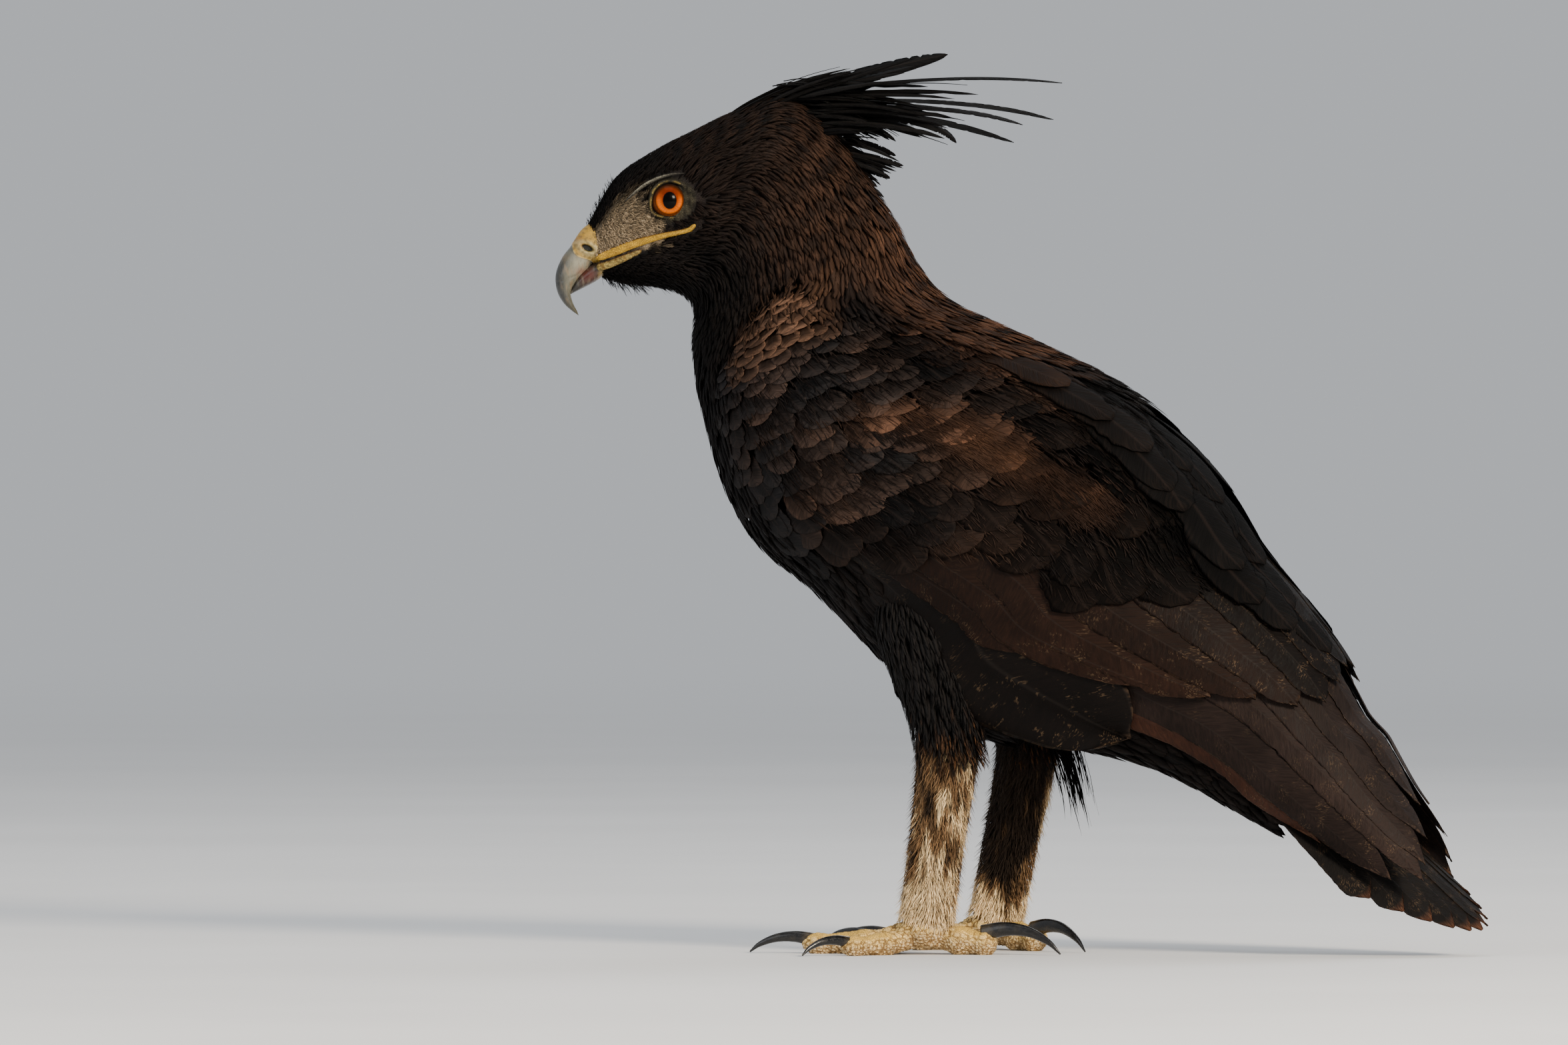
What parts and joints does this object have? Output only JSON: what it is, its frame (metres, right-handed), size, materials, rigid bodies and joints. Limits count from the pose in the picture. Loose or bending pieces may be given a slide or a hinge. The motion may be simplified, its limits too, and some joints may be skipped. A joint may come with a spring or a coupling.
{
  "type": "long-crested eagle",
  "caption": "Standing long-crested eagle, wings folded and head turned to its left, with a hooked bill, a lifted crest swept back, feathered shanks and curved claws; a still, life-size model.",
  "frame": {"origin": "on the floor under the middle of the box", "axes": "the bird's body faces -Y, its left side is +X and its crest rises along +Z"},
  "size_m": [0.1642, 0.4103, 0.3963],
  "materials": {
    "plumage": "matte body feathers, blackish brown",
    "flight_feathers": "satin vanes, brown with worn pale edges",
    "crest": "soft black plumes",
    "shank_feathers": "short fluffy feathers, cream mottled with brown",
    "scaly_skin": "pebbled and scaly ochre skin",
    "cere": "smooth waxy yellow skin",
    "bill": "satin grey horn with a dark tip",
    "claw": "glossy black horn",
    "eye": "wet orange eye with a black pupil"
  },
  "bodies": {
    "root": {"bill_lower": "bill", "bill_upper": "bill", "cere": "cere", "claw_left_hind": "claw", "claw_left_inner": "claw", "claw_left_middle": "claw", "claw_left_outer": "claw", "claw_right_hind": "claw", "claw_right_inner": "claw", "claw_right_middle": "claw", "claw_right_outer": "claw", "crest": "crest", "eye_left": "eye", "eye_right": "eye", "foot_left": "scaly_skin", "foot_right": "scaly_skin", "head": "plumage", "neck": "plumage", "shank_left": "shank_feathers", "shank_right": "shank_feathers", "tail": "flight_feathers", "thigh_left": "plumage", "thigh_right": "plumage", "trunk": "plumage", "wing_left_coverts": "plumage", "wing_left_primaries": "flight_feathers", "wing_left_secondaries": "flight_feathers", "wing_right_coverts": "plumage", "wing_right_primaries": "flight_feathers", "wing_right_secondaries": "flight_feathers"}
  },
  "joints": []
}
